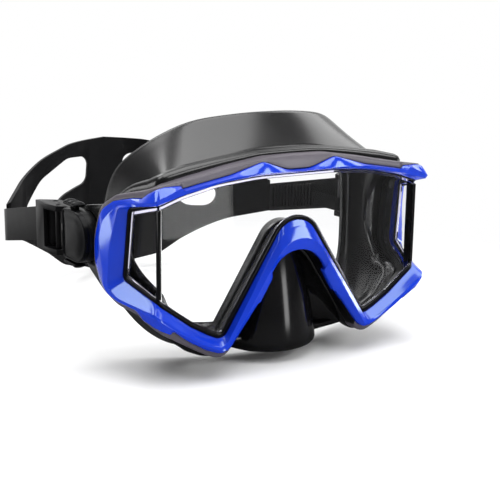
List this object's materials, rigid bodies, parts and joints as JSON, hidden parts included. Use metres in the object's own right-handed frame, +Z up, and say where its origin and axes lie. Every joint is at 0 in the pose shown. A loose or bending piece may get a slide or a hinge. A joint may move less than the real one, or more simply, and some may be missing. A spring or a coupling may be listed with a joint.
{
  "type": "diving mask",
  "caption": "Snorkelling mask with a wide front pane, side panes, rigid trim, soft face skirt and a split head strap on swivelling quick-release buckles.",
  "frame": {"origin": "middle of the face opening: the temples touch the skirt in the plane y = 0, midway across and about midway up the front pane", "axes": "-Y is the way the wearer looks, +Y goes into the face and towards the strap, +Z up, +X the wearer's left"},
  "size_m": [0.1732, 0.198, 0.1096],
  "materials": {
    "trim": "smooth blue moulded rim",
    "frame": "smooth black moulded frame",
    "glass": "clear tempered glass",
    "seal": "thin black seal",
    "skirt": "satin black silicone",
    "strap": "satin black silicone",
    "buckle": "fine satin black plastic",
    "cap": "smooth black plastic",
    "pin": "black acetal",
    "spring": "stainless spring wire"
  },
  "bodies": {
    "mask": {"frame_trim": "trim", "inner_frame": "frame", "front_glass": "glass", "left_side_glass": "glass", "right_side_glass": "glass", "left_lens_post": "seal", "right_lens_post": "seal", "lens_gasket": "seal", "skirt": "skirt", "left_strap_ear": "frame", "right_strap_ear": "frame", "left_pivot_pin": "pin", "right_pivot_pin": "pin"},
    "left_buckle": {"left_buckle_body": "buckle", "left_buckle_cap": "cap", "left_upper_spring": "spring", "left_lower_spring": "spring", "strap": "strap"},
    "left_upper_button": {"left_upper_button": "buckle"},
    "left_lower_button": {"left_lower_button": "buckle"},
    "left_roller": {"left_strap_roller": "pin"},
    "left_pawl": {"left_strap_pawl": "buckle"},
    "right_buckle": {"right_buckle_body": "buckle", "right_buckle_cap": "cap", "right_upper_spring": "spring", "right_lower_spring": "spring"},
    "right_upper_button": {"right_upper_button": "buckle"},
    "right_lower_button": {"right_lower_button": "buckle"},
    "right_roller": {"right_strap_roller": "pin"},
    "right_pawl": {"right_strap_pawl": "buckle"}
  },
  "joints": [
    {"name": "left_buckle_swivel", "type": "hinge", "parent": "mask", "child": "left_buckle", "pos_m": [0.07679, -0.00703, 0.0005], "axis": [1, 0, 0], "range_deg": [-25, 25]},
    {"name": "left_release", "type": "slide", "parent": "left_buckle", "child": "left_upper_button", "axis": [0, 0, -1], "range_m": [0, 0.0012], "stiffness_N_per_m": 300, "deforming": ["left_upper_spring"]},
    {"name": "left_lower_release", "type": "slide", "parent": "left_buckle", "child": "left_lower_button", "axis": [0, 0, 1], "range_m": [0, 0.0012], "stiffness_N_per_m": 300, "deforming": ["left_lower_spring"]},
    {"name": "left_pawl_lift", "type": "hinge", "parent": "left_buckle", "child": "left_pawl", "pos_m": [0.08299, 0.01097, 0.0005], "axis": [0, 0, -1], "range_deg": [0, 12.5]},
    {"name": "left_roller_spin", "type": "hinge", "parent": "left_buckle", "child": "left_roller", "pos_m": [0.08009, 0.02047, 0.0005], "axis": [0, 0, 1], "continuous": true},
    {"name": "right_buckle_swivel", "type": "hinge", "parent": "mask", "child": "right_buckle", "pos_m": [-0.07679, -0.00703, 0.0005], "axis": [1, 0, 0], "range_deg": [-25, 25]},
    {"name": "right_release", "type": "slide", "parent": "right_buckle", "child": "right_upper_button", "axis": [0, 0, -1], "range_m": [0, 0.0012], "stiffness_N_per_m": 300, "deforming": ["right_upper_spring"]},
    {"name": "right_lower_release", "type": "slide", "parent": "right_buckle", "child": "right_lower_button", "axis": [0, 0, 1], "range_m": [0, 0.0012], "stiffness_N_per_m": 300, "deforming": ["right_lower_spring"]},
    {"name": "right_pawl_lift", "type": "hinge", "parent": "right_buckle", "child": "right_pawl", "pos_m": [-0.08299, 0.01097, 0.0005], "axis": [0, 0, 1], "range_deg": [0, 12.5]},
    {"name": "right_roller_spin", "type": "hinge", "parent": "right_buckle", "child": "right_roller", "pos_m": [-0.08009, 0.02047, 0.0005], "axis": [0, 0, 1], "continuous": true}
  ],
  "couplings": [
    {"joint": "left_lower_release", "follows": "left_release", "ratio": 1},
    {"joint": "left_pawl_lift", "follows": "left_release", "rad_per_m": 174.5},
    {"joint": "right_buckle_swivel", "follows": "left_buckle_swivel", "ratio": 1},
    {"joint": "right_lower_release", "follows": "right_release", "ratio": 1},
    {"joint": "right_pawl_lift", "follows": "right_release", "rad_per_m": 174.5}
  ]
}
